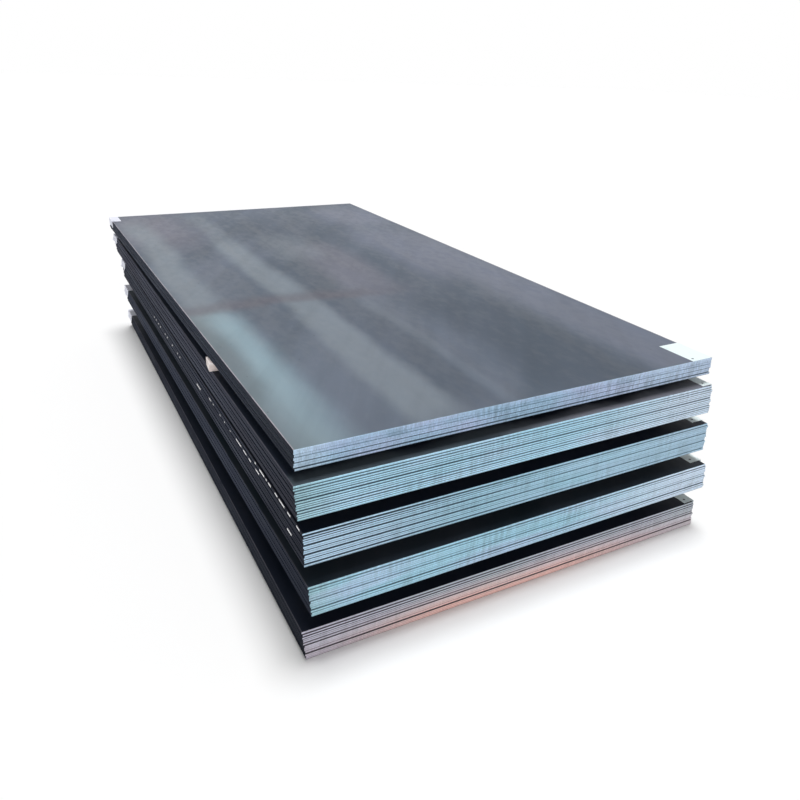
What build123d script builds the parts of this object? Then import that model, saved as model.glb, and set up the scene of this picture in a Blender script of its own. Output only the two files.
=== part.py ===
from build123d import *
import math
import os
from typing import NamedTuple

# Hot-rolled plate cut to length from coil: bulged mill edges along the sides, sheared ends
PLATE_WIDTH = 1250.0
PLATE_LENGTH = 2500.0
PLATE_THICKNESS = 6.0
MILL_EDGE_BULGE = 1.2
SHEAR_ROLLOVER = 0.8

# Air between the plates of a pack: most lie close, some lie open on scale and a slight bow
CLOSE_SEAM = 0.2
OPEN_SEAM = 0.8

# How far single plates stray from the pack's line, to the side and endwise
SIDE_SCATTER = 1.2
END_SCATTER = 1.4
SCATTER_STEP = math.radians(137.5)

# Sawn timber spacers laid across each pack, under the next one
SPACER_WIDTH = 55.0
SPACER_RECESS = 50.0
SPACER_ARRIS = 1.5
OUTER_SPACER_INSET = 150.0
INNER_SPACER_INSET = 640.0
HEAVY_SPACER = 50.0
MEDIUM_SPACER = 38.0
LIGHT_SPACER = 25.0
SPACER_DRIFT = 5.0
SPACER_SKEW = 0.8

# Paper cards folded over the packs' edges: a large one at the front right, a small one at the back left
FRONT_CARD_LENGTH = 127.0
FRONT_CARD_WIDTH = 102.0
BACK_CARD_LENGTH = 105.0
BACK_CARD_WIDTH = 74.0
CARD_THICKNESS = 0.4
CARD_FOLD_RADIUS = 1.2
CARD_STANDOFF = 0.1
BACK_CARD_COVER = 38.0
BACK_CARD_SETBACK = 2.0


class Pack(NamedTuple):
    """One bundle of plates, as it lies in the stack."""

    name: str
    plates: int
    side_shift: float
    end_shift: float
    turn: float
    lean: float
    open_seams: tuple
    card_cover: float
    card_setback: float
    spacer_thickness: float


# From the floor up; the lean is how far the pack's foot stands to the right of its top
PACKS = (
    Pack("bottom_pack", 13, 0.0, 0.0, 0.0, 8.0, (3, 7, 10, 11), 31.0, 6.0, HEAVY_SPACER),
    Pack("second_pack", 13, 3.0, -10.0, 0.40, 7.0, (3, 12), 37.0, 25.0, MEDIUM_SPACER),
    Pack("third_pack", 14, 3.0, 14.0, 0.30, 2.0, (12, 13), 39.0, 23.0, MEDIUM_SPACER),
    Pack("fourth_pack", 14, -16.0, 10.0, 0.40, 7.0, (8,), 28.0, 8.0, LIGHT_SPACER),
    Pack("top_pack", 8, -19.0, 33.0, 0.80, -1.0, (3,), 75.0, 2.0, 0.0),
)

# Where the spacers lie along a pack, and the one that was pushed out past the left side, askew
STATIONS = ("front_end", "front_quarter", "back_quarter", "back_end")
PUSHED_SPACER = ("fourth_pack", "front_quarter")
PUSHED_OUT = 8.0
PUSHED_SKEW = -5.0


def plate_solid():
    """One plate, centred in X and Y, lying on Z = 0: the rolled section cut off by the shear."""
    edge = PLATE_WIDTH / 2
    flat = edge - MILL_EDGE_BULGE
    half = PLATE_THICKNESS / 2
    section = make_face([
        Line((-flat, half), (flat, half)),
        ThreePointArc((flat, half), (edge, 0), (flat, -half)),
        Line((flat, -half), (-flat, -half)),
        ThreePointArc((-flat, -half), (-edge, 0), (-flat, half)),
    ])
    rolled = extrude(Plane.XZ * section, amount=PLATE_LENGTH / 2, both=True)
    cut_outline = Rectangle(PLATE_LENGTH, PLATE_THICKNESS)
    rolled_over = cut_outline.vertices().group_by(Axis.Y)[-1]
    cut_outline = fillet(rolled_over, SHEAR_ROLLOVER)
    sheared = extrude(Plane.YZ * cut_outline, amount=PLATE_WIDTH, both=True)
    plate = (rolled & sheared).solid()
    return Pos(0, 0, half) * plate


def stray(number, level):
    """A plate's side and end offsets in its pack: the pack's lean and a scatter that never repeats."""
    pack = PACKS[number]
    rise = level / max(pack.plates - 1, 1) - 0.5
    phase = SCATTER_STEP * (level + pack.plates * number)
    side = SIDE_SCATTER * math.sin(phase) - pack.lean * rise
    end = END_SCATTER * math.sin(2 * phase + 1)
    return side, end


def plate_heights(pack):
    """The height of each plate's underside above the pack's foot."""
    heights = [0.0]
    for level in range(1, pack.plates):
        seam = OPEN_SEAM if level in pack.open_seams else CLOSE_SEAM
        heights.append(heights[-1] + PLATE_THICKNESS + seam)
    return heights


def pack_height(pack):
    """From the underside of the lowest plate to the top of the highest."""
    return plate_heights(pack)[-1] + PLATE_THICKNESS


def pack_solids(number, plate):
    """The pack's plates, in the pack's own frame."""
    pack = PACKS[number]
    solids = []
    for level, height in enumerate(plate_heights(pack)):
        side, end = stray(number, level)
        solids.append(Pos(side, end, height) * plate)
    return solids


def spacer_solid(number, station):
    """A chamfered timber across the pack, lying on it, in the pack's own frame."""
    pack = PACKS[number]
    length = PLATE_WIDTH - 2 * SPACER_RECESS
    section = Rectangle(SPACER_WIDTH, pack.spacer_thickness)
    section = chamfer(section.vertices(), SPACER_ARRIS)
    timber = extrude(Plane.YZ * section, amount=length / 2, both=True).solid()
    place = STATIONS.index(station)
    inset = OUTER_SPACER_INSET if station.endswith("end") else INNER_SPACER_INSET
    toward = -1 if station.startswith("front") else 1
    phase = SCATTER_STEP * (place + len(STATIONS) * number)
    side = SPACER_DRIFT * math.sin(phase)
    skew = SPACER_SKEW * math.cos(phase)
    if (pack.name, station) == PUSHED_SPACER:
        side = -SPACER_RECESS - PUSHED_OUT
        skew = PUSHED_SKEW
    height = pack_height(pack) + pack.spacer_thickness / 2
    return Pos(side, toward * (PLATE_LENGTH / 2 - inset), height) * Rot(0, 0, skew) * timber


def card_solid(number, to_right, cover, setback):
    """A card folded over the top arris: it lies on the top plate and hangs clear of the pack's side."""
    length = FRONT_CARD_LENGTH if to_right else BACK_CARD_LENGTH
    width = FRONT_CARD_WIDTH if to_right else BACK_CARD_WIDTH
    pack = PACKS[number]
    hand = 1 if to_right else -1
    top_side, top_end = stray(number, pack.plates - 1)
    reach = max(hand * stray(number, level)[0] for level in range(pack.plates))
    fold = PLATE_WIDTH / 2 + reach + CARD_STANDOFF
    inner = PLATE_WIDTH / 2 + hand * top_side - cover
    drop = width - (fold - inner)
    outline = Polyline(
        (inner, CARD_THICKNESS),
        (fold + CARD_THICKNESS, CARD_THICKNESS),
        (fold + CARD_THICKNESS, -drop),
        (fold, -drop),
        (fold, 0),
        (inner, 0),
        close=True,
    )
    card = make_face(outline)
    outer_corner = card.vertices().sort_by_distance((fold + CARD_THICKNESS, CARD_THICKNESS, 0))[0]
    card = fillet(outer_corner, CARD_FOLD_RADIUS + CARD_THICKNESS)
    inner_corner = card.vertices().sort_by_distance((fold, 0, 0))[0]
    card = fillet(inner_corner, CARD_FOLD_RADIUS)
    strip = extrude(Plane.XZ * card, amount=length / 2, both=True).solid()
    if not to_right:
        strip = strip.mirror(Plane.YZ)
    end = PLATE_LENGTH / 2 - setback - length / 2
    along = top_end - end if to_right else top_end + end
    return Pos(0, along, pack_height(pack)) * strip


def stack_nodes():
    """Every node of the stack by name, with the bottom pack's own centre as the origin."""
    plate = plate_solid()
    nodes = {}
    foot = 0.0
    for number, pack in enumerate(PACKS):
        place = Pos(pack.side_shift, pack.end_shift, foot) * Rot(0, 0, pack.turn)
        nodes[pack.name + "_plates"] = [place * solid for solid in pack_solids(number, plate)]
        front_card = card_solid(number, True, pack.card_cover, pack.card_setback)
        back_card = card_solid(number, False, BACK_CARD_COVER, BACK_CARD_SETBACK)
        nodes[pack.name + "_front_card"] = [place * front_card]
        nodes[pack.name + "_back_card"] = [place * back_card]
        foot += pack_height(pack) + pack.spacer_thickness
        if number + 1 < len(PACKS):
            for station in STATIONS:
                nodes[pack.name + "_" + station + "_spacer"] = [place * spacer_solid(number, station)]
    return nodes


def centre_of(nodes):
    """The middle of the whole stack's box, seen from above."""
    whole = Compound([solid for solids in nodes.values() for solid in solids])
    return whole.bounding_box().center()


def main():
    """Write every node with the stack's box centred over the origin and its foot on Z = 0."""
    os.makedirs("parts", exist_ok=True)
    nodes = stack_nodes()
    middle = centre_of(nodes)
    for name, solids in nodes.items():
        placed = [Pos(-middle.X, -middle.Y, 0) * solid for solid in solids]
        export_step(Compound(placed), "parts/" + name + ".step")


main()
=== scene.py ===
import logging
import math
from dataclasses import dataclass
from enum import IntEnum
from functools import cached_property, reduce
from typing import ClassVar

import bpy
import numpy as np
from mathutils import Matrix, Vector


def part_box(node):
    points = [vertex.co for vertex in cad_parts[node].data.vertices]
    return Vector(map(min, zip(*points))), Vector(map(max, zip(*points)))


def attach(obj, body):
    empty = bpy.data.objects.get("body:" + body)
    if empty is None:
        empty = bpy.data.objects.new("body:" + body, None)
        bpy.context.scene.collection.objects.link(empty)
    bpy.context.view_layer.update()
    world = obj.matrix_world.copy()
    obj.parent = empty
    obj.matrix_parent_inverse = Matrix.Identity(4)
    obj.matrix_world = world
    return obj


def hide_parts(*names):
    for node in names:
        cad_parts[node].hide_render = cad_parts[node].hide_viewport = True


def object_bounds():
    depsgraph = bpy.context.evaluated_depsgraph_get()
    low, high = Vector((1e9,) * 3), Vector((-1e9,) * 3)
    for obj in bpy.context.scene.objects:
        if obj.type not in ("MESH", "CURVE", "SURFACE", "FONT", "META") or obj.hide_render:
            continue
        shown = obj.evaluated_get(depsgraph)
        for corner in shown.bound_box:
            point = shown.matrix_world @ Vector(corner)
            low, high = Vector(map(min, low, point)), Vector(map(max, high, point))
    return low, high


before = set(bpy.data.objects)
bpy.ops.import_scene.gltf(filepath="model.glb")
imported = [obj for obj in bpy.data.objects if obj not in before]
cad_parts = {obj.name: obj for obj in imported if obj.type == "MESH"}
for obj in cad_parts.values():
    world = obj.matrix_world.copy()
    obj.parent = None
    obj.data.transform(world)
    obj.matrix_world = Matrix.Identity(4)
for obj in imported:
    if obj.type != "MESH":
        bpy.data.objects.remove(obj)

# Stack of hot-rolled steel plates in five packs on sawn timber spacers, with folded paper cards.
# Lengths are in metres, in the row frame: X across the plates, Y along them, Z up.

CAD_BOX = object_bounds()
MM = 0.001
BODY = "root"
FULL_TURN = 2 * math.pi
QUARTER_TURN = math.pi / 2
WHITE = (1.0, 1.0, 1.0, 1.0)
BLACK = (0.0, 0.0, 0.0, 1.0)
log = logging.getLogger("plate_stack")

Range = tuple[float, float]
Triple = tuple[float, float, float]
Colour = tuple[float, float, float, float]
Socket = bpy.types.NodeSocket
Value = Socket | float | tuple


def paint(red: int, green: int, blue: int) -> Colour:
    """Turn a display colour, 0 to 255 a channel, into linear RGBA by the sRGB curve."""
    shares = np.array((red, green, blue)) / 255
    return (*np.where(shares <= 0.04045, shares / 12.92, ((shares + 0.055) / 1.055) ** 2.4).tolist(), 1.0)


class Graph:
    """A shader node tree, with short calls that add its nodes and links."""

    def __init__(self, tree: bpy.types.NodeTree) -> None:
        """Keep the tree that the calls add to."""
        self.tree = tree

    def add(self, kind: str, inputs: dict | None = None, **settings: object) -> bpy.types.Node:
        """Add a node.

        Args:
            kind: The node's type, without the ShaderNode prefix.
            inputs: A value, or an output socket to link, by input name or index.
            **settings: The node's own properties, set before its inputs.

        Returns:
            The new node.
        """
        node = self.tree.nodes.new("ShaderNode" + kind)
        for key, value in settings.items():
            setattr(node, key, value)
        self.feed(node, inputs or {})
        return node

    def feed(self, node: bpy.types.Node, inputs: dict) -> None:
        """Link output sockets to a node's inputs, or set the inputs' own values.

        Args:
            node: The node.
            inputs: A value, or an output socket to link, by input name or index.
        """
        for key, value in inputs.items():
            if isinstance(value, Socket):
                self.tree.links.new(value, node.inputs[key])
            else:
                node.inputs[key].default_value = value

    def math(self, operation: str, first: Value, second: Value = 0.0) -> Socket:
        """Add a Math node on two numbers."""
        return self.add("Math", {0: first, 1: second}, operation=operation).outputs[0]

    def times(self, *factors: Value) -> Socket:
        """Multiply numbers, in their order."""
        return reduce(lambda product, factor: self.math("MULTIPLY", product, factor), factors)

    def spread(self, value: Value, low: Value, high: Value, start: Value = 0.0, end: Value = 1.0) -> Socket:
        """Carry a value from low..high smoothly to start..end, held at both ends.

        Args:
            value: The number to carry.
            low: The value that becomes start.
            high: The value that becomes end.
            start: The result at and below low.
            end: The result at and above high.

        Returns:
            The result's socket.
        """
        sockets = {"Value": value, "From Min": low, "From Max": high, "To Min": start, "To Max": end}
        return self.add("MapRange", sockets, interpolation_type="SMOOTHSTEP").outputs["Result"]

    def fade(self, mask: Value, start: Value, end: Value) -> Socket:
        """Carry a mask from 0..1 smoothly to start..end."""
        return self.spread(mask, 0.0, 1.0, start, end)

    def sway(self, mask: Value, depth: float) -> Socket:
        """Turn a mask into a factor round one, up or down by a depth."""
        return self.fade(mask, 1.0 - depth, 1.0 + depth)

    def mix(self, share: Value, first: Value, second: Value, blend: str = "MIX") -> Socket:
        """Blend a second colour over a first by a share."""
        inputs = {0: share, 6: first, 7: second}
        return self.add("Mix", inputs, data_type="RGBA", blend_type=blend).outputs[2]

    def attribute(self, name: str) -> Socket:
        """Read one of the mesh's own numbers."""
        return self.add("Attribute", attribute_name=name).outputs["Fac"]


class Effects:
    """The shader node groups that several finishes share, each built once."""

    def __init__(self) -> None:
        """Build the groups."""
        self.drawn_noise = self._drawn_noise()
        self.speckle = self._speckle()
        self.bloom = self._bloom()

    @staticmethod
    def _start(name: str, **kinds: str) -> tuple[Graph, bpy.types.bpy_prop_collection, bpy.types.Node]:
        """Open a node group with its inputs and one output, a mask.

        Args:
            name: The group's name.
            **kinds: Each input's socket type, by the input's name.

        Returns:
            The group's graph, its inputs' sockets by name, and its output node.
        """
        tree = bpy.data.node_groups.new(name, "ShaderNodeTree")
        for key, kind in kinds.items():
            tree.interface.new_socket(key, in_out="INPUT", socket_type="NodeSocket" + kind)
        tree.interface.new_socket("Mask", in_out="OUTPUT", socket_type="NodeSocketFloat")
        entry = tree.nodes.new("NodeGroupInput")
        return Graph(tree), entry.outputs, tree.nodes.new("NodeGroupOutput")

    def _drawn_noise(self) -> bpy.types.NodeTree:
        """Make noise drawn out along an axis: coordinates times a stretch, then the noise spread low to high.

        Returns:
            The group.
        """
        graph, given, leave = self._start(
            "drawn_noise", Place="Vector", Stretch="Vector", Low="Float", High="Float")
        scaled = graph.add("VectorMath", {0: given["Place"], 1: given["Stretch"]}, operation="MULTIPLY")
        noise = graph.add("TexNoise", {"Vector": scaled.outputs[0], "Scale": 1.0, "Detail": 4.0})
        graph.feed(leave, {"Mask": graph.spread(noise.outputs["Fac"], given["Low"], given["High"])})
        return graph.tree

    def _speckle(self) -> bpy.types.NodeTree:
        """Make scattered spots: nearness to random cell centres, kept only where a slow noise lets it.

        Returns:
            The group.
        """
        graph, given, leave = self._start(
            "speckle", Place="Vector", Scale="Float", Size="Float", Rarity="Float")
        cells = graph.add("TexVoronoi", {"Vector": given["Place"], "Scale": given["Scale"]})
        spot = graph.spread(cells.outputs["Distance"], 0.0, given["Size"], 1.0, 0.0)
        slow = graph.times(given["Scale"], 0.31)
        noise = graph.add("TexNoise", {"Vector": given["Place"], "Scale": slow, "Detail": 1.0})
        kept = graph.math("GREATER_THAN", noise.outputs["Fac"], given["Rarity"])
        graph.feed(leave, {"Mask": graph.times(spot, kept)})
        return graph.tree

    def _bloom(self) -> bpy.types.NodeTree:
        """Make patchy bloom, as of rust or dirt: a broad and a fine noise added, cut off by the amount.

        Returns:
            The group.
        """
        graph, given, leave = self._start("bloom", Place="Vector", Scale="Float", Amount="Float")
        fine = graph.times(given["Scale"], 9.0)
        broad = graph.add("TexNoise", {"Vector": given["Place"], "Scale": given["Scale"], "Detail": 5.0})
        grain = graph.add("TexNoise", {"Vector": given["Place"], "Scale": fine, "Detail": 3.0})
        both = graph.math("ADD", broad.outputs["Fac"], graph.times(grain.outputs["Fac"], 0.5))
        edge = graph.math("SUBTRACT", 1.15, graph.times(given["Amount"], 0.8))
        graph.feed(leave, {"Mask": graph.spread(graph.math("SUBTRACT", both, edge), 0.0, 0.22)})
        return graph.tree


@dataclass(frozen=True)
class Grain:
    """A drawn-out noise: how often it turns in a metre along X, Y and Z, and where it starts and is full."""

    stretch: Triple
    low: float = 0.35
    high: float = 0.65


class Canvas(Graph):
    """A material's node tree, with its shader, the shared effects and the colour so far at hand."""

    def __init__(self, name: str, effects: Effects) -> None:
        """Open the material.

        Args:
            name: The material's name.
            effects: The shared node groups.
        """
        self.material = bpy.data.materials.new(name)
        self.material.use_nodes = True
        super().__init__(self.material.node_tree)
        self.shader = self.tree.nodes["Principled BSDF"]
        self.effects = effects
        self.colour: Value = WHITE

    @cached_property
    def place(self) -> Socket:
        """The Object coordinates, which are the row frame on every piece here."""
        return self.add("TexCoord").outputs["Object"]

    def axis(self, name: str) -> Socket:
        """Read one of the Object coordinates, X, Y or Z."""
        return self.add("SeparateXYZ", {0: self.place}).outputs[name]

    def group(self, tree: bpy.types.NodeTree, place: Socket | None, **inputs: Value) -> Socket:
        """Place a shared effect with its own values, on the row frame unless other coordinates are given."""
        inputs["Place"] = self.place if place is None else place
        return self.add("Group", inputs, node_tree=tree).outputs["Mask"]

    def noise(self, grain: Grain, place: Socket | None = None) -> Socket:
        """Place drawn-out noise."""
        return self.group(
            self.effects.drawn_noise, place, Stretch=grain.stretch, Low=grain.low, High=grain.high)

    def speckle(self, scale: float, size: float, rarity: float) -> Socket:
        """Place scattered spots."""
        return self.group(self.effects.speckle, None, Scale=scale, Size=size, Rarity=rarity)

    def bloom(self, scale: float, amount: float, place: Socket | None = None) -> Socket:
        """Place patchy bloom."""
        return self.group(self.effects.bloom, place, Scale=scale, Amount=amount)

    def coat(self, share: Value, colour: Value) -> None:
        """Lay a colour over the colour so far, by a share."""
        self.colour = self.mix(share, self.colour, colour)

    def shade(self, factor: Value) -> None:
        """Multiply the colour so far by a number."""
        self.colour = self.mix(1.0, self.colour, factor, "MULTIPLY")

    def shine(self, roughness: Value, gloss: float, metal: Value = 0.0) -> None:
        """Feed the shader the colour so far, a roughness, a mirror share and a metal share."""
        self.feed(self.shader, {
            "Base Color": self.colour, "Roughness": roughness, "Specular IOR Level": gloss, "Metallic": metal})

    def bump(self, height: Value, strength: float, depth: float) -> None:
        """Feed a height, in the bump's own depth, to the shader's normal."""
        node = self.add("Bump", {"Height": height, "Strength": strength, "Distance": depth})
        self.feed(self.shader, {"Normal": node.outputs["Normal"]})


@dataclass(frozen=True)
class Finish:
    """A finish with a name; each kind of finish lays its own nodes."""

    name: str

    def material(self, effects: Effects) -> bpy.types.Material:
        """Make the finish's material.

        Args:
            effects: The shared node groups.

        Returns:
            The material.
        """
        canvas = Canvas(self.name, effects)
        self.lay(canvas)
        return canvas.material

    def lay(self, canvas: Canvas) -> None:
        """Lay the nodes of this kind of finish."""
        raise NotImplementedError


@dataclass(frozen=True)
class Patch:
    """A soft patch of another colour on a plate's face: middle, half sizes, fades to sides, front and back."""

    middle: Range
    half: Range
    fade: Triple
    colour: Colour
    share: float


@dataclass(frozen=True)
class MillScale(Finish):
    """Blue-grey mill scale on the rolled faces, clouded and streaked along the plate."""

    # The default slate and haze are near black: painted shade, for the lower packs' faces that lie in the dark
    # gaps between packs.
    slate: Colour = paint(16, 22, 34)
    haze: Colour = paint(22, 28, 40)
    # Painted highlight, laid along the highest plate's arrises.
    bright: Colour = paint(196, 190, 198)
    speck: Colour = paint(40, 41, 47)
    # The lip at each end is bare steel, coloured like the lit end: partly a painted highlight.
    lip: Colour = paint(132, 158, 174)
    rim: Colour = paint(54, 59, 73)
    slant: float = math.radians(31)
    top_highlight_share: float = 0.2
    speck_share: float = 0.7
    gloss: float = 0.1
    roughness: Range = (0.44, 0.58)
    patches: tuple[Patch, ...] = ()
    drift_reach: Range = (0.02, 0.03)
    cloud: Grain = Grain((5.6, 1.1, 1.0), 0.28, 0.72)
    wide: Grain = Grain((11.0, 0.8, 1.0), 0.3, 0.7)
    fine: Grain = Grain((44.0, 22.0, 1.0), 0.25, 0.75)
    drawn: Grain = Grain((17.0, 1.6, 1.0), 0.3, 0.7)
    arris_highlight: Grain = Grain((12.0, 12.0, 12.0), 0.2, 0.55)
    drift: Grain = Grain((4.0, 1.7, 0.0), 0.1, 0.9)

    def lay(self, canvas: Canvas) -> None:
        """Lay cloudy scale, soft patches, faint streaks, specks, a painted highlight on the highest plate's
        arrises and the lip of the ends, bare steel and partly a painted highlight.

        Args:
            canvas: The material's tree.
        """
        turned = {"Vector": canvas.place, "Rotation": (0.0, 0.0, self.slant)}
        slanted = canvas.add("Mapping", turned).outputs[0]
        canvas.colour = self.slate
        canvas.coat(canvas.noise(self.cloud, slanted), self.haze)
        if self.patches:
            self._lay_patches(canvas)
        wide, fine = canvas.noise(self.wide), canvas.noise(self.fine)
        drawn = canvas.noise(self.drawn, slanted)
        canvas.shade(canvas.times(canvas.sway(wide, 0.06), canvas.sway(fine, 0.015), canvas.sway(drawn, 0.05)))
        speck = canvas.speckle(scale=26.0, size=0.09, rarity=0.57)
        canvas.coat(canvas.times(speck, self.speck_share), self.speck)
        arris = canvas.attribute("arris")
        canvas.coat(arris, self.rim)
        # Painted highlight along the highest plate's arrises.
        topmost = canvas.math("LESS_THAN", canvas.attribute("level"), 0.5)
        canvas.coat(canvas.times(canvas.noise(self.arris_highlight), arris, topmost, self.top_highlight_share), self.bright)
        # The lip of the ends, partly a painted highlight.
        canvas.coat(canvas.attribute("lip"), self.lip)
        canvas.shine(canvas.spread(canvas.math("ADD", wide, fine), 0.2, 1.8, *self.roughness), self.gloss)
        canvas.bump(canvas.math("ADD", fine, speck), 0.1, 0.1 * MM)

    def _lay_patches(self, canvas: Canvas) -> None:
        """Lay each patch over the colour so far.

        A patch is full inside its half sizes and falls smoothly to nothing over its fades, one for both
        sides, one for the front and one for the back, on coordinates that a slow noise pushes about.

        Args:
            canvas: The material's tree.
        """
        drift = canvas.noise(self.drift)
        across, along = (
            canvas.math("ADD", canvas.axis(name), canvas.fade(drift, -reach, reach))
            for name, reach in zip("XY", self.drift_reach))
        for patch in self.patches:
            side_fade, front_fade, back_fade = patch.fade
            front, back = patch.middle[1] - patch.half[1], patch.middle[1] + patch.half[1]
            off = canvas.math("ABSOLUTE", canvas.math("SUBTRACT", across, patch.middle[0]))
            share = canvas.times(
                canvas.spread(along, front - front_fade, front, 0.0, patch.share),
                canvas.spread(along, back, back + back_fade, 1.0, 0.0),
                canvas.spread(off, patch.half[0], patch.half[0] + side_fade, 1.0, 0.0))
            canvas.coat(share, patch.colour)


@dataclass(frozen=True)
class GlintPlate:
    """Painted glints on one plate's left edge, bright spans where light catches scraped spots:
    the plate's level from the top, and where they lie.
    """

    level: int
    spans: tuple[Range, ...]


@dataclass(frozen=True)
class MillEdge(Finish):
    """Dark rolled edges along the plates' sides, with a faint painted highlight on their arrises and any
    painted glints.
    """

    dark: Colour
    warm: Colour
    reach: Range
    # Painted glints on the left edges and the faint painted highlight on the arrises are laid in the highlight
    # colour.
    glints: tuple[GlintPlate, ...] = ()
    bright: Colour = paint(250, 250, 252)
    front_shade: float = 0.6
    front_run: float = 0.7
    edge_highlight_share: float = 0.03
    round_shade: Range = (0.94, 1.06)
    roughness: Range = (0.65, 0.8)
    gloss: float = 0.05
    patch: Grain = Grain((1.0, 3.0, 30.0))
    arris_highlight: Grain = Grain((1.0, 9.0, 150.0), 0.55, 0.8)
    relief: Grain = Grain((300.0, 60.0, 700.0))

    def lay(self, canvas: Canvas) -> None:
        """Lay dark scale with drawn-out patches, a faint painted highlight on the arrises, darker at the
        front, and the painted glints on the left.

        Args:
            canvas: The material's tree.
        """
        patch = canvas.noise(self.patch)
        canvas.colour = self.dark
        canvas.coat(patch, self.warm)
        # A faint painted highlight along the arrises.
        arris_highlight = canvas.times(canvas.noise(self.arris_highlight), canvas.attribute("arris"), self.edge_highlight_share)
        canvas.coat(arris_highlight, self.bright)
        front = self.reach[0]
        canvas.shade(canvas.times(
            canvas.spread(canvas.axis("Y"), front, front + self.front_run, self.front_shade, 1.0),
            canvas.spread(canvas.attribute("through"), 0.1, 0.8, *self.round_shade)))
        # Painted glints, where light catches scraped spots.
        for row in self.glints:
            canvas.coat(self._glint_mask(canvas, row), self.bright)
        canvas.shine(canvas.fade(patch, *self.roughness), self.gloss)
        canvas.bump(canvas.noise(self.relief), 0.1, 0.1 * MM)

    def _glint_mask(self, canvas: Canvas, row: GlintPlate) -> Socket:
        """Mask one plate's painted glints.

        The mask is a ramp of steps along the plate, one step up and one down for each span, times one where
        the mesh's level is the row's and the surface is on the left.

        Args:
            canvas: The material's tree.
            row: The plate and its spans, from the front end.

        Returns:
            The mask.
        """
        front, back = self.reach
        place = {"Value": canvas.axis("Y"), "From Min": front, "From Max": back}
        node = canvas.add("ValToRGB", {"Fac": canvas.add("MapRange", place).outputs[0]})
        ramp = node.color_ramp
        ramp.interpolation = "CONSTANT"
        ramp.elements.remove(ramp.elements[1])
        ramp.elements[0].color = BLACK
        for start, end in row.spans:
            ramp.elements.new(start / (back - front)).color = WHITE
            ramp.elements.new(end / (back - front)).color = BLACK
        off = canvas.math("SUBTRACT", canvas.attribute("level"), float(row.level))
        here = canvas.math("LESS_THAN", canvas.math("ABSOLUTE", off), 0.5)
        left = canvas.math("LESS_THAN", canvas.axis("X"), 0.0)
        return canvas.times(node.outputs[0], here, left)


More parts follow.
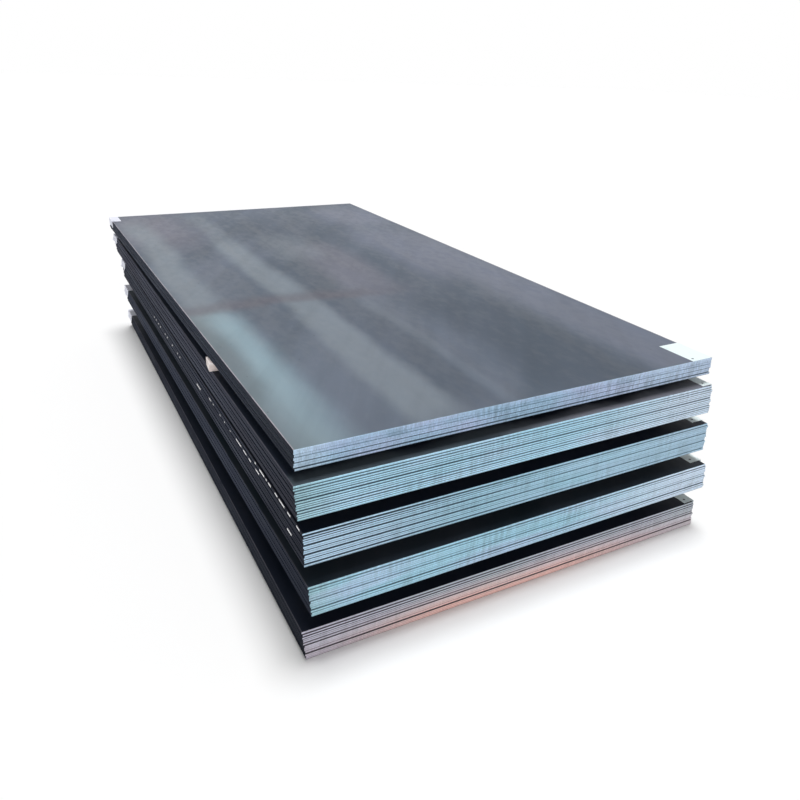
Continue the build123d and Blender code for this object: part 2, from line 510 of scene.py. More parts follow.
@dataclass(frozen=True)
class ShearedEnd(Finish):
    """Bright sheared ends: burnished above, broken below and darker there, partly as painted shade, with a
    dark line at every seam, partly painted shade.
    """

    steel: Colour
    tint: Colour
    # Colour towards the left end: a tint, and where it is pale a painted highlight.
    left: Colour = paint(160, 198, 202)
    left_reach: Range = (-0.62, -0.50)
    left_share: float = 0.6
    # Colour towards the right end: painted light, the end lit brighter there.
    right: Colour = paint(206, 222, 244)
    right_reach: Range = (0.05, 0.6)
    right_share: float = 0.0
    # Seam lines: painted shade in and under the gaps between plates, partly dark scale at the plates' edges.
    seam: Colour = paint(30, 38, 52)
    seam_reach: Range = (-0.5, 0.3)
    seam_left: float = 0.8
    seam_right: float = 0.6
    close_line: float = 0.6
    line_foot: float = 0.68
    bold: tuple[int, ...] = ()
    faint: tuple[int, ...] = ()
    # How dark each plate's lower, broken band is: the fracture's duller steel, partly painted shade.
    broken: float = 0.88
    marks: float = 0.12
    rust: float = 0.0
    rust_colour: Colour = paint(255, 205, 195)
    rust_rise: Range = (0.004, 0.074)
    speck_share: float = 0.6
    plate_shade: Range = (0.94, 1.05)
    gloss: float = 0.3
    metal: float = 0.1
    roughness: Range = (0.42, 0.58)
    cloud: Grain = Grain((3.4, 1.0, 14.0), 0.42, 0.68)
    streaks: Grain = Grain((105.0, 0.0, 9.0), 0.3, 0.7)
    patch: Grain = Grain((5.0, 0.0, 11.0), 0.42, 0.62)
    nicks: Grain = Grain((420.0, 0.0, 50.0), 0.3, 0.7)

    def lay(self, canvas: Canvas) -> None:
        """Lay tinted bare steel, paler to the left by a tint and a painted highlight, brighter to the right by
        painted light, any rust, upright shear marks, a darker broken band partly of painted shade, seam lines
        partly of painted shade, and specks.

        Args:
            canvas: The material's tree.
        """
        through, tone, across = canvas.attribute("through"), canvas.attribute("tone"), canvas.axis("X")
        canvas.colour = self.steel
        canvas.coat(canvas.noise(self.cloud), self.tint)
        # Paler to the left: a tint and a painted highlight.
        canvas.coat(canvas.spread(across, *self.left_reach, self.left_share, 0.0), self.left)
        # Brighter to the right: painted light.
        canvas.coat(canvas.spread(across, *self.right_reach, 0.0, self.right_share), self.right)
        if self.rust > 0:
            canvas.coat(self._rust_mask(canvas), self.rust_colour)
        strength = canvas.spread(across, *self.seam_reach, self.seam_left, self.seam_right)
        # The broken band's darkening, partly painted shade.
        lower = canvas.math("SUBTRACT", 1.0, canvas.times(strength, 1.0 - self.broken))
        shade = canvas.times(
            self._marks(canvas, tone),
            canvas.spread(through, 0.38, 0.56, 1.0, lower),
            canvas.fade(tone, *self.plate_shade))
        canvas.shade(shade)
        # Seam lines: painted shade, partly dark scale.
        seams = canvas.times(canvas.attribute("line"), strength)
        canvas.coat(seams, self.seam)
        speck = canvas.speckle(scale=90.0, size=0.16, rarity=0.6)
        canvas.coat(canvas.times(speck, self.speck_share), self.seam)
        canvas.shine(canvas.spread(through, 0.42, 0.52, *self.roughness), self.gloss,
                     metal=canvas.spread(seams, 0.0, 0.6, self.metal, 0.0))
        canvas.bump(shade, 0.3, 0.2 * MM)

    def _marks(self, canvas: Canvas, tone: Socket) -> Socket:
        """Shade the upright marks that the shear leaves.

        Streaks that run down over several plates show in patches, and finer ones differ from plate to
        plate, because the plate's tone shifts their noise.

        Args:
            canvas: The material's tree.
            tone: The plate's own random number.

        Returns:
            A factor round one.
        """
        depth = canvas.fade(canvas.noise(self.patch), 0.25 * self.marks, 1.6 * self.marks)
        trough = canvas.math("SUBTRACT", 1.0, depth)
        coarse = canvas.fade(canvas.noise(self.streaks), trough, 1.0 + 0.4 * self.marks)
        shifted = canvas.add("VectorMath", {0: canvas.place, 1: tone}, operation="ADD").outputs[0]
        nicks = canvas.noise(self.nicks, shifted)
        return canvas.times(coarse, canvas.fade(nicks, 1.0 - 0.8 * self.marks, 1.0 + 0.6 * self.marks))

    def _rust_mask(self, canvas: Canvas) -> Socket:
        """Mask soft rust, heaviest at the pack's foot and about the middle of its width.

        Args:
            canvas: The material's tree.

        Returns:
            The mask.
        """
        across = canvas.axis("X")
        low = canvas.spread(canvas.axis("Z"), *self.rust_rise, self.rust, 0.0)
        left = canvas.spread(across, -0.62, -0.2, 0.15, 1.0)
        right = canvas.spread(across, 0.05, 0.62, 1.0, 0.3)
        drawn = canvas.add("VectorMath", {0: canvas.place, 1: (0.5, 1.0, 10.0)}, operation="MULTIPLY")
        mottle = canvas.bloom(scale=7.0, amount=0.8, place=drawn.outputs[0])
        return canvas.times(low, left, right, canvas.fade(mottle, 0.75, 1.0))


@dataclass(frozen=True)
class SawnTimber(Finish):
    """Pale sawn softwood with grain along the timber."""

    pale: Colour = paint(250, 242, 240)
    grain: Colour = paint(230, 214, 208)
    grain_share: float = 0.75
    dirt: Colour = paint(180, 166, 158)
    dirt_share: float = 0.6
    roughness: Range = (0.72, 0.85)
    gloss: float = 0.5
    rings: Grain = Grain((2.0, 95.0, 95.0))
    sawn: Grain = Grain((260.0, 30.0, 30.0))

    def lay(self, canvas: Canvas) -> None:
        """Lay drawn-out grain across a pale ground, saw marks and a little dirt.

        Args:
            canvas: The material's tree.
        """
        rings = canvas.noise(self.rings)
        canvas.colour = self.pale
        canvas.coat(canvas.times(rings, self.grain_share), self.grain)
        canvas.coat(canvas.times(canvas.bloom(scale=14.0, amount=0.35), self.dirt_share), self.dirt)
        canvas.shine(canvas.fade(rings, *self.roughness), self.gloss)
        canvas.bump(canvas.math("ADD", canvas.noise(self.sawn), rings), 0.4, 0.4 * MM)


@dataclass(frozen=True)
class BlankCard(Finish):
    """Blank white card with a faint fibre, a little soiled, with a small punched mark or none."""

    white: Colour = paint(240, 253, 254)
    soiled: Colour = paint(226, 240, 242)
    mark: Colour = paint(62, 70, 80)
    mark_place: Range = (0.015, -0.048)
    mark_radius: float = 0.0
    roughness: Range = (0.6, 0.75)
    gloss: float = 0.5
    fibre: Grain = Grain((900.0, 500.0, 900.0))

    def lay(self, canvas: Canvas) -> None:
        """Lay white card, soft soiling, fine fibre and the mark, a disc by its distance on the sheet.

        Args:
            canvas: The material's tree.
        """
        soil = canvas.bloom(scale=22.0, amount=0.4)
        canvas.colour = self.white
        canvas.coat(soil, self.soiled)
        if self.mark_radius > 0:
            down, along = (
                canvas.math("SUBTRACT", canvas.attribute(name), middle)
                for name, middle in zip(("down", "along"), self.mark_place))
            squares = canvas.math("ADD", canvas.times(down, down), canvas.times(along, along))
            distance = canvas.math("SQRT", squares)
            canvas.coat(canvas.spread(distance, 0.6 * self.mark_radius, self.mark_radius, 1.0, 0.0), self.mark)
        canvas.shine(canvas.fade(soil, *self.roughness), self.gloss)
        canvas.bump(canvas.noise(self.fibre), 0.15, 0.1 * MM)


def seen_rays(graph: Graph) -> Socket:
    """Say 1 for rays that show a surface: straight, mirrored or through something clear."""
    path = graph.add("LightPath").outputs
    return reduce(lambda first, second: graph.math("MAXIMUM", first, second),
                  (path["Is Camera Ray"], path["Is Glossy Ray"], path["Is Transmission Ray"]))


@dataclass(frozen=True)
class PaleFloor(Finish):
    """A plain white studio floor that keeps a soft shadow."""

    white: Colour = (0.93, 0.93, 0.93, 1.0)
    lift: float = 0.05

    def lay(self, canvas: Canvas) -> None:
        """Lay the matt floor, lifted towards white where it is seen.

        Args:
            canvas: The material's tree.
        """
        canvas.colour = self.white
        canvas.shine(roughness=1.0, gloss=0.0)
        canvas.feed(canvas.shader, {
            "Emission Color": WHITE, "Emission Strength": canvas.times(seen_rays(canvas), self.lift)})


@dataclass(frozen=True)
class Flat:
    """A level rectangular face of a CAD node: its middle, its turn about Z and its size."""

    middle: np.ndarray
    turn: float
    width: float
    length: float

    def place(self, local: np.ndarray) -> np.ndarray:
        """Turn points about Z and carry them from the face's middle to the row frame."""
        cos, sin = math.cos(self.turn), math.sin(self.turn)
        return local @ np.array(((cos, sin, 0), (-sin, cos, 0), (0, 0, 1))) + self.middle


def rectangle(points: np.ndarray) -> Flat:
    """Read a level rectangle, lying nearly along X and Y, from points that hold its corners.

    The corners are the points furthest along the four diagonals; the middle is their mean.

    Args:
        points: The points, one a row.

    Returns:
        The rectangle.
    """
    total = points[:, 0] + points[:, 1]
    differ = points[:, 0] - points[:, 1]
    near_left, far_right = points[total.argmin()], points[total.argmax()]
    far_left, near_right = points[differ.argmin()], points[differ.argmax()]
    right = (near_right - near_left + far_right - far_left) / 2
    ahead = (far_left - near_left + far_right - near_right) / 2
    middle = (near_left + near_right + far_left + far_right) / 4
    return Flat(middle, math.atan2(right[1], right[0]), np.linalg.norm(right), np.linalg.norm(ahead))


UPRIGHT = 0.9999
HEIGHT_DECIMALS = 5


def level_faces(node: str) -> list[Flat]:
    """Find a CAD node's level faces that look up, lowest first.

    Args:
        node: The CAD node's name.

    Returns:
        One rectangle for each height at which the node has such a face.
    """
    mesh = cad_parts[node].data
    points = np.empty(3 * len(mesh.vertices), np.float32)
    mesh.vertices.foreach_get("co", points)
    normals = np.empty(3 * len(mesh.polygons), np.float32)
    mesh.polygons.foreach_get("normal", normals)
    corners = np.empty(len(mesh.loops), np.int32)
    mesh.loops.foreach_get("vertex_index", corners)
    up = normals.reshape(-1, 3)[:, 2] > UPRIGHT
    level = points.reshape(-1, 3).astype(float)[corners.reshape(-1, 3)[up]].reshape(-1, 3)
    heights, member = np.unique(np.round(level[:, 2], HEIGHT_DECIMALS), return_inverse=True)
    return [rectangle(level[member == k]) for k in range(len(heights))]


def closed_rows(stations: np.ndarray, closing: tuple[float, ...]) -> tuple[np.ndarray, np.ndarray, np.ndarray]:
    """Lay out the rows of a bar whose ends close on a middle line.

    Args:
        stations: Where the full sections stand along the bar.
        closing: How far the section's height is squeezed in each row of an end, from 0 outwards.

    Returns:
        For every row, its place along the bar, its squeeze, and -1, 0 or 1 for front end, body, back end.
    """
    count = len(closing)
    along = np.concatenate((np.repeat(stations[0], count), stations, np.repeat(stations[-1], count)))
    squeeze = np.concatenate((closing, np.ones(len(stations)), closing[::-1]))
    end = np.zeros(len(along))
    end[:count + 1] = -1
    end[-count - 1:] = 1
    return along, squeeze, end


WELD_DECIMALS = 7
SHARP_ANGLE = math.radians(35)


def skin(name: str, rings: np.ndarray, zones: np.ndarray, values: dict[str, np.ndarray]) -> bpy.types.Object:
    """Make one piece from closed rings of points, bridged by quads and welded where points meet.

    Args:
        name: The piece's name.
        rings: Points of every body, ring and place on the ring, in the row frame.
        zones: The material slot of the quads after each ring and place, the same for every body.
        values: Numbers for the mesh to carry at its points, by name, each spread over all the rings.

    Returns:
        The piece.
    """
    bodies, count, sides = rings.shape[:3]
    index = np.arange(bodies * count * sides).reshape(bodies, count, sides)
    ahead = np.roll(index, -1, axis=2)
    quads = np.stack((index[:, :-1], ahead[:, :-1], ahead[:, 1:], index[:, 1:]), axis=-1).reshape(-1, 4)
    points, first, welded = np.unique(
        np.round(rings.reshape(-1, 3), WELD_DECIMALS), axis=0, return_index=True, return_inverse=True)
    mesh = bpy.data.meshes.new(name)
    mesh.from_pydata(points.tolist(), [], welded.reshape(-1)[quads].tolist())
    mesh.polygons.foreach_set("material_index", np.tile(zones.ravel(), bodies).astype(np.int32))
    for key, numbers in values.items():
        layer = mesh.attributes.new(key, "FLOAT", "POINT")
        carried = np.broadcast_to(numbers, index.shape).ravel()[first]
        layer.data.foreach_set("value", carried.astype(np.float32))
    mesh.shade_smooth()
    mesh.set_sharp_from_angle(angle=SHARP_ANGLE)
    mesh.validate()
    piece = bpy.data.objects.new(name, mesh)
    bpy.context.scene.collection.objects.link(piece)
    return piece


@dataclass
class Fitted:
    """A piece that is built where its CAD node stands, and takes that node's place."""

    node: str
    seed: int
    finishes: tuple[bpy.types.Material, ...]
    slot: ClassVar[str]

    def build(self) -> bpy.types.Object:
        """Build the mesh of this kind of piece."""
        raise NotImplementedError

    def dress(self, piece: bpy.types.Object) -> None:
        """Give the piece its finishes, in the order of its zones, and tie it to the frame.

        Args:
            piece: The piece.
        """
        for finish in self.finishes:
            piece.data.materials.append(finish)
        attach(piece, BODY)
        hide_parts(self.node)

    def make(self) -> None:
        """Build the piece, dress it and report it."""
        piece = self.build()
        self.dress(piece)
        log.info("%s: %d faces", piece.name, len(piece.data.polygons))


class Zone(IntEnum):
    """The kinds of surface on a plate, in the order of its material slots."""

    FACE = 0
    EDGE = 1
    END = 2


@dataclass
class PlatePack(Fitted):
    """One pack of plates, built plate by plate."""

    slot: ClassVar[str] = "steel_plate"
    end: ShearedEnd
    bulge: float = 0.5 * MM
    square: float = 0.7 * MM
    rollover: float = 0.8 * MM
    rollover_share: float = 0.133
    burnished_share: float = 0.45
    fracture: float = 0.25 * MM
    ripple: float = 0.3 * MM
    ripple_runs: Range = (0.43, 0.097)
    side_drop: float = 0.12 * MM
    side_share: float = 0.1
    side_run: float = 0.9
    close_seam: float = 0.2 * MM
    open_seam: float = 0.8 * MM
    faint_line: float = 0.25
    floor_line: float = 0.5
    line_fade: float = 0.15
    arris: float = 3.0 * MM
    face_columns: int = 26
    edge_points: int = 5
    body_rows: int = 34
    end_rows: tuple[float, ...] = (0.0, 0.12, 0.5, 0.74, 0.86, 0.95)

    def build(self) -> bpy.types.Object:
        """Build the pack's plates as one piece.

        A plate is its rolled section, flat above and below with bulged sides, carried along Y. Its thickness
        falls off a little towards the sides. At each end the section is squeezed row by row to the middle
        of the thickness, and every point stands back by the sheared profile and a slow ripple.

        Returns:
            The piece.
        """
        flats = level_faces(self.node)
        low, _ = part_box(self.node)
        thick = flats[0].middle[2] - low.z
        flat_half = flats[0].width / 2 + self.square
        half_length = flats[0].length / 2 + self.rollover
        across, rise, arris, edges = self._section(flat_half, thick / 2)
        inner = np.linspace(self.arris - half_length, half_length - self.arris, self.body_rows)
        stations = np.concatenate(((-half_length,), inner, (half_length,)))
        along, squeeze, end = (row[:, None] for row in closed_rows(stations, self.end_rows))
        through = 0.5 - squeeze * rise / thick
        random = np.random.default_rng(self.seed)
        phase = random.uniform(0, FULL_TURN, (len(flats), 1, 1, 3))
        tone = random.uniform(0, 1, (len(flats), 1, 1))
        slow, quick = (
            np.sin(FULL_TURN * across / run + phase[..., k]) for k, run in enumerate(self.ripple_runs))
        inset = self._shear_inset(through) + self.ripple * (0.5 + 0.35 * slow + 0.15 * quick)
        line = self._seam_lines(flats, thick, through, random)
        thin = np.clip(1 - (1 - np.abs(across) / flat_half) / self.side_share, 0, 1) ** 2
        swell = 0.6 + 0.4 * np.sin(FULL_TURN * along / self.side_run + phase[..., 2])
        height = squeeze * rise * (1 - 2 * self.side_drop * thin * swell / thick)
        local = np.stack(np.broadcast_arrays(across, along - end * inset, height - thick / 2), axis=-1)
        rings = np.stack([flat.place(local[k]) for k, flat in enumerate(flats)])
        zones = np.where(edges, Zone.EDGE, Zone.FACE) * np.ones((len(along) - 1, 1), int)
        zones[np.abs(end[:-1] + end[1:]).ravel() == 2] = Zone.END
        return skin(self.node.replace("_plates", "_plate_pack"), rings, zones, {
            "through": through, "line": line, "arris": arris, "lip": np.abs(end) * (squeeze == 1),
            "tone": tone, "level": np.arange(len(flats))[::-1, None, None]})

    def _section(self, flat_half: float, half: float) -> tuple[np.ndarray, ...]:
        """Lay out the rolled section, clockwise from its top left corner as seen from the front.

        The sides are arcs through the four corners that stand out by the bulge at mid height.

        Args:
            flat_half: Half the width of the flat faces.
            half: Half the thickness.

        Returns:
            For every point, its place across and up from the middle, 1 on an arris and 0 elsewhere, and
            whether the stretch after it is a side.
        """
        inner = np.linspace(self.arris - flat_half, flat_half - self.arris, self.face_columns)
        face = np.concatenate(((-flat_half,), inner, (flat_half,)))
        fall = half * np.linspace(1, -1, self.edge_points + 2)[1:-1]
        radius = (self.bulge ** 2 + half ** 2) / (2 * self.bulge)
        side = flat_half + self.bulge - radius + np.sqrt(radius ** 2 - fall ** 2)
        across = np.concatenate((face, side, face[::-1], -side[::-1]))
        level = np.full(len(face), half)
        rise = np.concatenate((level, fall, -level, fall[::-1]))
        arris = np.isclose(np.abs(across), flat_half, 0, 1e-9) & (np.abs(rise) == half)
        edges = np.zeros(len(across), bool)
        edges[len(face) - 1:len(face) + self.edge_points] = True
        edges[-self.edge_points - 1:] = True
        return across, rise, arris.astype(float), edges

    def _shear_inset(self, through: np.ndarray) -> np.ndarray:
        """Say how far the sheared face stands back at each depth through the plate.

        A rounded rollover at the top, then a flush burnished band, then a broken band that slopes back.

        Args:
            through: The depth, 0 at the top and 1 at the foot.

        Returns:
            The distance back from the plate's end.
        """
        rolled = self.rollover * np.clip(1 - through / self.rollover_share, 0, 1) ** 2
        broken = np.clip((through - self.burnished_share) / (1 - self.burnished_share), 0, 1)
        return rolled + self.fracture * broken

    def _seam_lines(self, flats: list[Flat], thick: float, through: np.ndarray,
                    random: np.random.Generator) -> np.ndarray:
        """Say how dark the seam lines are at every point of every plate.

        A line is painted shade in and under the seam, partly dark scale at the plates' edges. It is full at
        the plate's top and foot and fades into its thickness. Its strength grows with the air in the seam,
        with a random share of its own, and nothing lies above the highest plate.

        Args:
            flats: The plates' upper faces, lowest first.
            thick: The plates' thickness.
            through: The depth at each point of a plate.
            random: The pack's random numbers.

        Returns:
            The darkness, 0 to 1, for every plate and point.
        """
        air = np.diff([flat.middle[2] for flat in flats]) - thick
        share = np.clip((air - self.close_seam) / (self.open_seam - self.close_seam), 0, 1)
        seam = self.end.close_line + (1 - self.end.close_line) * share
        seam = seam * random.uniform(0.9, 1.0, len(air))
        seam[np.array(self.end.bold, int) - 1] = 1.0
        seam[np.array(self.end.faint, int) - 1] *= self.faint_line
        head = np.append(seam, 0.0)[:, None, None]
        foot = np.insert(seam, 0, self.floor_line)[:, None, None]
        upper = np.clip(1.3 - through / self.line_fade, 0, 1)
        lower = np.clip((through - self.end.line_foot) / self.line_fade, 0, 1)
        return np.maximum(head * upper, foot * lower)


@dataclass
class Spacer(Fitted):
    """One sawn timber spacer."""

    slot: ClassVar[str] = "spacer_timber"
    arris: float = 1.5 * MM
    arris_points: int = 4
    waviness: float = 0.5 * MM
    wave_runs: Range = (0.37, 0.08)
    wave_shares: Range = (1.0, 0.4)
    saw_depth: float = 1.0 * MM
    saw_turns: float = 40.0
    rows: int = 40
    end_rows: tuple[float, ...] = (0.0, 0.4, 0.8)

    def build(self) -> bpy.types.Object:
        """Build the timber: a rectangle with rounded arrises carried along X, its sides a little wavy.

        Each side stands in by two slow sines, and each end is squeezed to its mid height row by row and
        stands in by a saw's ridges.

        Returns:
            The piece.
        """
        top = level_faces(self.node)[0]
        low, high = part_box(self.node)
        half = (high.z - low.z) / 2
        wide = top.length / 2 + self.arris
        corner = np.linspace(0, QUARTER_TURN, self.arris_points)
        turn = np.concatenate([corner + k * QUARTER_TURN for k in range(4)])
        inset_x = (wide - self.arris) * np.repeat((1, -1, -1, 1), self.arris_points)
        inset_z = (half - self.arris) * np.repeat((1, 1, -1, -1), self.arris_points)
        across = inset_x + self.arris * np.cos(turn)
        rise = inset_z + self.arris * np.sin(turn)
        phase = np.random.default_rng(self.seed).uniform(0, FULL_TURN, 3)
        stations = np.linspace(-top.width / 2, top.width / 2, self.rows)
        along, squeeze, end = (row[:, None] for row in closed_rows(stations, self.end_rows))
        deepest = sum(self.wave_shares)
        wave = sum(share * np.sin(FULL_TURN * along / run + start)
                   for share, run, start in zip(self.wave_shares, self.wave_runs, phase))
        sides = 1 - self.waviness * (deepest - wave) / (2 * deepest) / wide
        ridges = 0.5 + 0.5 * np.sin(self.saw_turns * across / wide + phase[2])
        inset = self.saw_depth * ridges * (squeeze < 1)
        local = np.stack(np.broadcast_arrays(
            along - end * inset, across * sides, squeeze * rise - half), axis=-1)
        zones = np.zeros((len(along) - 1, len(across)), int)
        return skin(self.node.replace("_spacer", "_timber"), top.place(local)[None], zones, {})


@dataclass
class Card(Fitted):
    """One folded paper card."""

    slot: ClassVar[str] = "card_paper"
    thickness: float = 0.4 * MM
    fold_radius: float = 1.6 * MM
    curl: float = 1.5 * MM
    curl_run: float = 13.0 * MM
    curl_turns: Range = (2.2, 5.0)
    tear: float = 0.0
    bite_turns: tuple[float, ...] = (71.0, 173.0, 311.0, 587.0)
    bite_shares: tuple[float, ...] = (0.4, 0.3, 0.2, 0.1)
    flat_points: int = 16
    fold_points: int = 7
    rows: int = 56
    end_rows: tuple[float, ...] = (0.0,)

    def build(self) -> bpy.types.Object:
        """Build the card: a sheet that lies flat, bends round the arris and hangs, carried along Y.

        The section follows the sheet's middle, half a thickness out on its way down and half a thickness in
        on its way back, and the ends are squeezed to the middle. The hanging part swells outwards in two
        crossed sines that grow from the fold, as far as the object's box leaves room, and its lower edge
        is torn to an uneven length, four sines that never fall in step.

        Returns:
            The piece.
        """
        top = level_faces(self.node)[0]
        low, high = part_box(self.node)
        hand = 1 if "front" in self.node else -1
        room = CAD_BOX[1].x - high.x if hand > 0 else low.x - CAD_BOX[0].x
        radius = self.fold_radius - self.thickness / 2
        edge = top.width / 2
        drop = high.z - low.z - self.fold_radius
        flat = np.linspace(-edge, edge, self.flat_points)
        bend = np.linspace(0, QUARTER_TURN, self.fold_points)[1:]
        hang = np.linspace(0, 1, self.flat_points)[1:]
        still, straight = np.zeros(len(flat)), np.ones(len(hang))
        turn = np.concatenate((still, bend, QUARTER_TURN * straight))
        reach = np.concatenate((flat, edge + radius * np.sin(bend), (edge + radius) * straight))
        fall = np.concatenate((still, radius * (1 - np.cos(bend)), radius * straight))
        share = np.concatenate((still, 0 * bend, hang))
        bent = 2 * edge + radius * QUARTER_TURN
        down = np.concatenate((flat + edge, 2 * edge + radius * bend, bent + drop * hang))
        stations = np.linspace(-top.length / 2, top.length / 2, self.rows)
        along, squeeze, _ = (row[:, None] for row in closed_rows(stations, self.end_rows))
        phase = np.random.default_rng(self.seed).uniform(0, FULL_TURN, 3)
        skew, sag = self.curl_turns
        wave = np.sin(along / self.curl_run + skew * share + phase[0]) + np.sin(sag * share + phase[1])
        swell = min(self.curl, room) * share * (0.5 + 0.25 * wave)
        steps = phase[2] * np.arange(1, len(self.bite_turns) + 1)
        bites = np.sin(along * self.bite_turns + steps) @ self.bite_shares
        torn = 1 - self.tear * (0.5 + 0.5 * bites[:, None])
        middle = np.stack((reach + swell, -self.thickness / 2 - fall - drop * share * torn), axis=-1)
        normal = np.stack((np.sin(turn), np.cos(turn)), axis=-1) * self.thickness / 2
        out = squeeze[..., None] * normal
        section = np.concatenate((middle + out, (middle - out)[:, ::-1]), axis=1)
        local = np.stack(np.broadcast_arrays(hand * section[..., 0], along, section[..., 1]), axis=-1)
        sheet_down = np.concatenate((down, down[::-1]))
        if hand < 0:
            local, sheet_down = local[:, ::-1], sheet_down[::-1]
        zones = np.zeros((len(along) - 1, len(sheet_down)), int)
        return skin(self.node.replace("_card", "_paper"), top.place(local)[None], zones, {
            "down": sheet_down, "along": along})


@dataclass(frozen=True)
class SoftLamp:
    """A far lamp: its strength, how wide it looks from the object, and where it shines from."""

    name: str
    strength: float
    spread: float
    origin: Triple

    def hang(self) -> None:
        """Add the lamp to the scene, aimed at the object."""
        data = bpy.data.lights.new(self.name, "SUN")
        data.energy = self.strength
        data.angle = self.spread
        lamp = bpy.data.objects.new(self.name, data)
        lamp.rotation_euler = Vector(self.origin).to_track_quat("Z", "Y").to_euler()
        bpy.context.scene.collection.objects.link(lamp)


@dataclass
class Studio:
    """The plain floor, a key lamp above, a fill lamp from the camera's side and the white surround."""

    floor_half: float = 40.0
    daylight: float = 0.15
    key: SoftLamp = SoftLamp("key_lamp", 2.4, math.radians(20), (0.045, 0.105, 1.0))
    fill: SoftLamp = SoftLamp("fill_lamp", 1.5, math.radians(60), (-0.5, -1.0, 0.3))

    def build(self, effects: Effects) -> None:
        """Lay the floor, hang the lamps and set the surround.

        Args:
            effects: The shared node groups.
        """
        half = self.floor_half
        corners = ((-half, -half, 0), (half, -half, 0), (half, half, 0), (-half, half, 0))
        mesh = bpy.data.meshes.new("studio_floor")
        mesh.from_pydata(corners, [], [(0, 1, 2, 3)])
        mesh.materials.append(PaleFloor("pale_floor").material(effects))
        floor = bpy.data.objects.new("studio_floor", mesh)
        bpy.context.scene.collection.objects.link(floor)
        self.key.hang()
        self.fill.hang()
        self._surround()

    def _surround(self) -> None:
        """Make the world white where it is seen or mirrored, and dimmer where it only lights."""
        world = bpy.data.worlds.new("white_surround")
        world.use_nodes = True
        graph = Graph(world.node_tree)
        strength = graph.fade(seen_rays(graph), self.daylight, 1.0)
        graph.feed(world.node_tree.nodes["Background"], {"Color": WHITE, "Strength": strength})
        bpy.context.scene.world = world


@dataclass
class PhotoCamera:
    """The camera at the photograph's place: its eye, its aim and its lens."""

    eye: Triple = (-1.0393, -2.5065, 1.2841)
    azimuth: float = math.radians(-29.678)
    elevation: float = math.radians(22.806)
    roll: float = math.radians(2.474)
    lens: float = 32.926
    sensor: float = 36.0
    shift: Range = (-0.0297, -0.0385)

    def build(self) -> None:
        """Add the camera and make it the scene's."""
        data = bpy.data.cameras.new("photo_camera")
        data.lens = self.lens
        data.sensor_width = self.sensor
        data.shift_x, data.shift_y = self.shift
        camera = bpy.data.objects.new("photo_camera", data)
        turns = ((self.azimuth, "Z"), (QUARTER_TURN - self.elevation, "X"), (self.roll, "Z"))
        aim, tilt, roll = (Matrix.Rotation(angle, 4, axis) for angle, axis in turns)
        camera.matrix_world = Matrix.Translation(self.eye) @ aim @ tilt @ roll
        bpy.context.scene.collection.objects.link(camera)
        bpy.context.scene.camera = camera


# The faces' finishes by pack, from the floor up, with the patches that show on the top two packs. The top
# pack's patches are partly the scale's own colour and partly painted reflection, lighter and darker bands
# where the face mirrors its surroundings; the fourth pack's are painted light near its front edge.
TOP_CYAN = paint(148, 174, 186)
TOP_PALE = paint(119, 129, 138)
TOP_SAGE = paint(117, 131, 134)
TOP_LILAC = paint(111, 116, 134)
TOP_ROSE = paint(118, 114, 127)
TOP_DEEP = paint(44, 56, 70)
TOP_BROWN = paint(82, 72, 80)

# Partly the scale's own colour, partly painted reflection in lighter and darker bands.
TOP_PATCHES = (
    Patch((0.23, -0.85), (0.08, 0.28), (0.16, 0.35, 0.30), TOP_DEEP, 0.75),
    Patch((0.06, 0.66), (0.14, 0.12), (0.26, 0.35, 0.35), TOP_DEEP, 0.45),
    Patch((-0.42, 0.58), (0.03, 0.10), (0.10, 0.25, 0.25), TOP_DEEP, 0.5),
    Patch((0.25, -0.12), (0.08, 0.15), (0.22, 0.35, 0.35), TOP_DEEP, 0.45),
    Patch((-0.14, -0.75), (0.03, 0.40), (0.06, 0.20, 0.20), TOP_DEEP, 0.4),
    Patch((-0.13, 0.00), (0.04, 0.15), (0.08, 0.20, 0.25), TOP_DEEP, 0.4),
    Patch((-0.39, -0.95), (0.04, 0.25), (0.08, 0.25, 0.15), TOP_PALE, 0.08),
    Patch((0.54, -0.75), (0.06, 0.40), (0.12, 0.35, 0.35), TOP_LILAC, 0.45),
    Patch((0.45, 0.20), (0.08, 0.20), (0.16, 0.35, 0.35), TOP_LILAC, 0.5),
    Patch((0.45, 0.95), (0.06, 0.06), (0.20, 0.28, 0.28), TOP_LILAC, 0.5),
    Patch((-0.52, 0.95), (0.05, 0.15), (0.22, 0.45, 0.30), TOP_ROSE, 0.45),
    Patch((0.04, 0.08), (0.04, 0.20), (0.12, 0.30, 0.30), TOP_ROSE, 0.35),
    Patch((-0.56, 0.36), (0.02, 0.55), (0.07, 0.35, 0.35), TOP_PALE, 0.72),
    Patch((-0.60, -0.80), (0.03, 0.45), (0.10, 0.10, 0.10), TOP_SAGE, 0.5),
    Patch((-0.27, 0.15), (0.025, 0.30), (0.065, 0.25, 0.25), TOP_PALE, 0.7),
    Patch((-0.28, 0.85), (0.015, 0.25), (0.05, 0.25, 0.25), TOP_PALE, 0.35),
    Patch((-0.265, -0.75), (0.035, 0.40), (0.055, 0.20, 0.14), TOP_PALE, 0.65),
    Patch((-0.065, -0.80), (0.006, 0.36), (0.03, 0.20, 0.20), TOP_PALE, 0.16),
    Patch((-0.04, 0.42), (0.04, 0.10), (0.10, 0.20, 0.20), TOP_PALE, 0.3),
    Patch((-0.528, -0.82), (0.010, 0.45), (0.085, 0.07, 0.12), TOP_CYAN, 0.30),
    Patch((-0.528, -0.62), (0.006, 0.14), (0.068, 0.50, 0.22), TOP_CYAN, 0.40),
    Patch((-0.35, -0.280), (0.20, 0.004), (0.40, 0.06, 0.10), TOP_BROWN, 0.42),
)

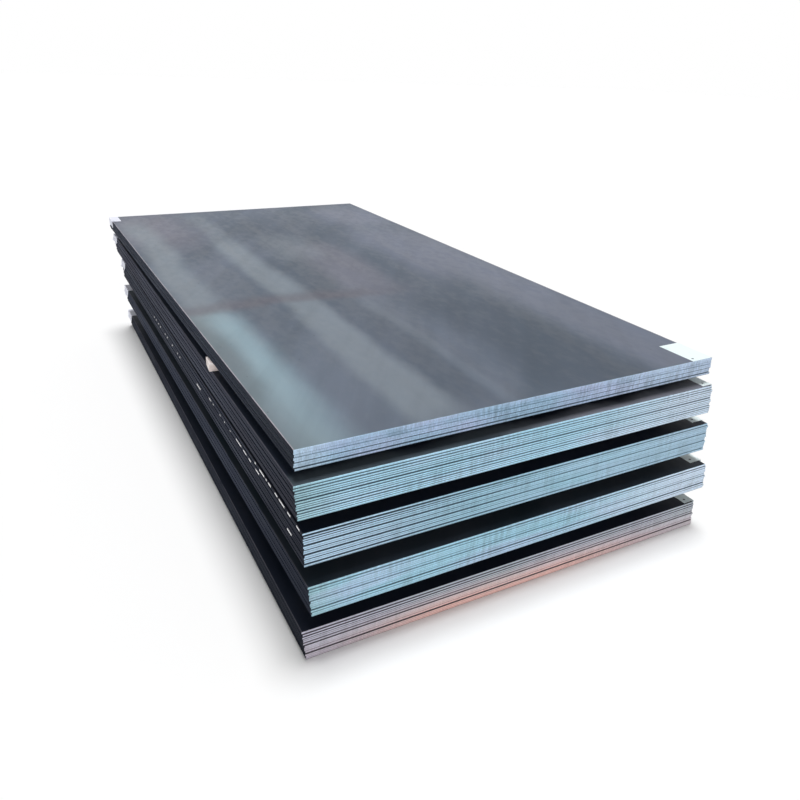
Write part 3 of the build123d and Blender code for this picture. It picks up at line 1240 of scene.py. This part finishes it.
# Painted light on the fourth pack's face near its front edge, where light reaches into the gap, brighter to
# the right.
FOURTH_LEDGE_LIGHT = (
    Patch((0.0, -1.242), (0.65, 0.004), (0.05, 0.05, 0.05), paint(74, 83, 90), 0.9),
    Patch((0.45, -1.242), (0.20, 0.004), (0.45, 0.05, 0.05), paint(112, 113, 122), 0.95),
)

# The lower packs' faces are painted dark, near black for most: painted shade of the gaps they lie in. The top
# pack's colours are its own.
PACK_SCALES = {
    "bottom_pack": MillScale("bottom_pack_scale", lip=paint(120, 112, 116)),
    "second_pack": MillScale("second_pack_scale", slate=paint(26, 36, 44), haze=paint(42, 48, 56)),
    "third_pack": MillScale("third_pack_scale"),
    "fourth_pack": MillScale("fourth_pack_scale", patches=FOURTH_LEDGE_LIGHT),
    "top_pack": MillScale("top_pack_scale", slate=paint(62, 74, 88), haze=paint(85, 94, 109), top_highlight_share=1.0,
                          gloss=0.3, patches=TOP_PATCHES),
}

# The sides' two colours by pack, and the painted glints on the third pack's left side, from its front end
PACK_SIDES = {
    "bottom_pack": (paint(39, 44, 56), paint(43, 46, 57)),
    "second_pack": (paint(52, 58, 74), paint(55, 60, 75)),
    "third_pack": (paint(50, 55, 69), paint(54, 57, 69)),
    "fourth_pack": (paint(56, 60, 75), paint(62, 63, 75)),
    "top_pack": (paint(43, 49, 62), paint(47, 52, 64)),
}

FLECKS = tuple((1.22 + 0.043 * k, 1.227 + 0.043 * k) for k in range(13))
PACK_GLINTS = {"third_pack": (
    GlintPlate(0, ((0.012, 0.033), (0.070, 0.092), (0.115, 0.130), (0.137, 0.151), (0.163, 0.183),
                    (0.212, 0.227), (0.239, 0.252), (0.264, 0.276), (0.284, 0.296), (0.327, 0.342))),
    GlintPlate(3, ((0.310, 0.335), (0.373, 0.396), (0.418, 0.450), (0.468, 0.511))),
    GlintPlate(4, ((0.570, 0.582), (0.632, 0.645), (0.677, 0.689), (0.757, 0.769), (0.792, 0.817))),
    GlintPlate(7, ((0.931, 0.980), *FLECKS)),
    GlintPlate(8, ((0.069, 0.106),)),
)}

# The ends' finishes by pack; bold and faint name seams, counted from the lowest
PACK_ENDS = {
    "bottom_pack": ShearedEnd(
        "bottom_pack_end", steel=paint(188, 198, 208), tint=paint(194, 198, 212), left=paint(202, 198, 216),
        left_reach=(-0.62, -0.25), left_share=0.7, seam=paint(44, 32, 36), seam_left=1.0, seam_right=0.85,
        close_line=0.7, bold=(3, 10, 11, 12), faint=(1, 2, 4, 5, 6), rust=0.95, marks=0.08),
    "second_pack": ShearedEnd(
        "second_pack_end", steel=paint(168, 214, 234), tint=paint(184, 212, 238), right=paint(220, 236, 255),
        right_share=0.9, seam_left=0.6, seam_right=0.7, close_line=0.5, bold=(2, 3), broken=0.82),
    "third_pack": ShearedEnd(
        "third_pack_end", steel=paint(164, 208, 228), tint=paint(172, 208, 230), left=paint(196, 226, 250),
        left_reach=(-0.62, -0.1), left_share=0.9, right=paint(176, 200, 222), right_share=0.6,
        seam=paint(6, 12, 30), seam_left=1.0, seam_right=0.3, close_line=0.3,
        bold=(1, 3, 5, 7, 9, 11, 13), line_foot=0.5, broken=0.85, marks=0.1),
    "fourth_pack": ShearedEnd(
        "fourth_pack_end", steel=paint(180, 228, 250), tint=paint(194, 228, 252), right=paint(224, 238, 255),
        right_share=0.8, seam_left=0.9, seam_right=0.7, close_line=1.0, broken=0.8),
    "top_pack": ShearedEnd(
        "top_pack_end", steel=paint(158, 190, 216), tint=paint(178, 192, 224), left=paint(196, 218, 236),
        right=paint(186, 204, 228), right_share=0.9, seam_left=0.95, seam_right=0.8, close_line=0.04,
        bold=(1, 3), broken=0.96, marks=0.18),
}


def build_packs(effects: Effects) -> None:
    """Build every pack of plates.

    Args:
        effects: The shared node groups.
    """
    for seed, (pack, end) in enumerate(PACK_ENDS.items()):
        node = pack + "_plates"
        low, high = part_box(node)
        edge = MillEdge(pack + "_edge", *PACK_SIDES[pack], (low.y, high.y), PACK_GLINTS.get(pack, ()))
        finishes = tuple(finish.material(effects) for finish in (PACK_SCALES[pack], edge, end))
        PlatePack(node, seed, finishes, end).make()


def nodes_ending(word: str) -> list[str]:
    """List the CAD nodes whose names end in a word, in order."""
    return sorted(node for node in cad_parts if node.endswith(word))


def build_spacers(effects: Effects) -> None:
    """Build every timber spacer.

    Args:
        effects: The shared node groups.
    """
    timber = SawnTimber("sawn_timber").material(effects)
    for seed, node in enumerate(nodes_ending("_spacer")):
        Spacer(node, seed, (timber,)).make()


def build_cards(effects: Effects) -> None:
    """Build every card: marked ones at the front, small torn ones at the back.

    Args:
        effects: The shared node groups.
    """
    marked = BlankCard("marked_card", mark_radius=4.5 * MM).material(effects)
    plain = BlankCard("blank_card", white=paint(232, 234, 246), soiled=paint(176, 182, 200)).material(effects)
    for seed, node in enumerate(nodes_ending("_card")):
        if "front" in node:
            Card(node, seed, (marked,)).make()
        else:
            Card(node, seed, (plain,), curl=7.0 * MM, tear=0.35).make()


def main() -> None:
    """Build the studio and the camera, then the stack piece by piece."""
    logging.basicConfig(level=logging.INFO, format="%(name)s: %(message)s")
    bpy.context.scene.view_settings.view_transform = "Standard"
    effects = Effects()
    Studio().build(effects)
    PhotoCamera().build()
    build_packs(effects)
    build_spacers(effects)
    build_cards(effects)


if __name__ == "__main__":
    main()
